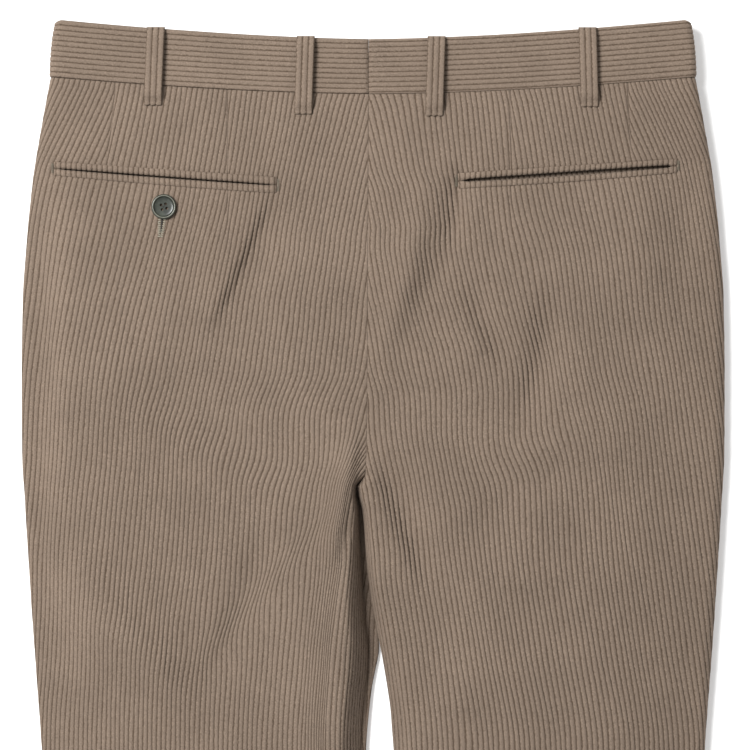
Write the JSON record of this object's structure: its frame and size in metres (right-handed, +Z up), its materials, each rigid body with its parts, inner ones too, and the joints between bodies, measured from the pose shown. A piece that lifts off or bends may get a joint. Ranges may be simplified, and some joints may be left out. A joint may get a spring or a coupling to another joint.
{
  "type": "corduroy trousers",
  "caption": "Men's wide-wale corduroy trousers laid flat with the back up, with belt loops, two double-welt back pockets and a pocket button.",
  "frame": {"origin": "on the surface that the trousers lie on, under the middle of their bounding box", "axes": "+Z up out of the back, +Y from the hems to the waist, +X to the wearer's right"},
  "size_m": [0.458, 1.0587, 0.0236],
  "materials": {
    "corduroy": "wide-wale cotton corduroy, soft pile, taupe",
    "button": "dark grey-green, polished face with a lighter rim",
    "zip_tape": "woven tape with metal teeth"
  },
  "bodies": {
    "root": {"back_left": "corduroy", "back_right": "corduroy", "front_left": "corduroy", "front_right": "corduroy", "waistband_left": "corduroy", "waistband_right": "corduroy", "belt_loop_back_1": "corduroy", "belt_loop_back_2": "corduroy", "belt_loop_back_3": "corduroy", "belt_loop_back_4": "corduroy", "belt_loop_front_1": "corduroy", "belt_loop_front_2": "corduroy", "welt_left_upper": "corduroy", "welt_left_lower": "corduroy", "welt_right_upper": "corduroy", "welt_right_lower": "corduroy", "pocket_button": "button", "waist_button": "button", "zip": "zip_tape"}
  },
  "joints": []
}
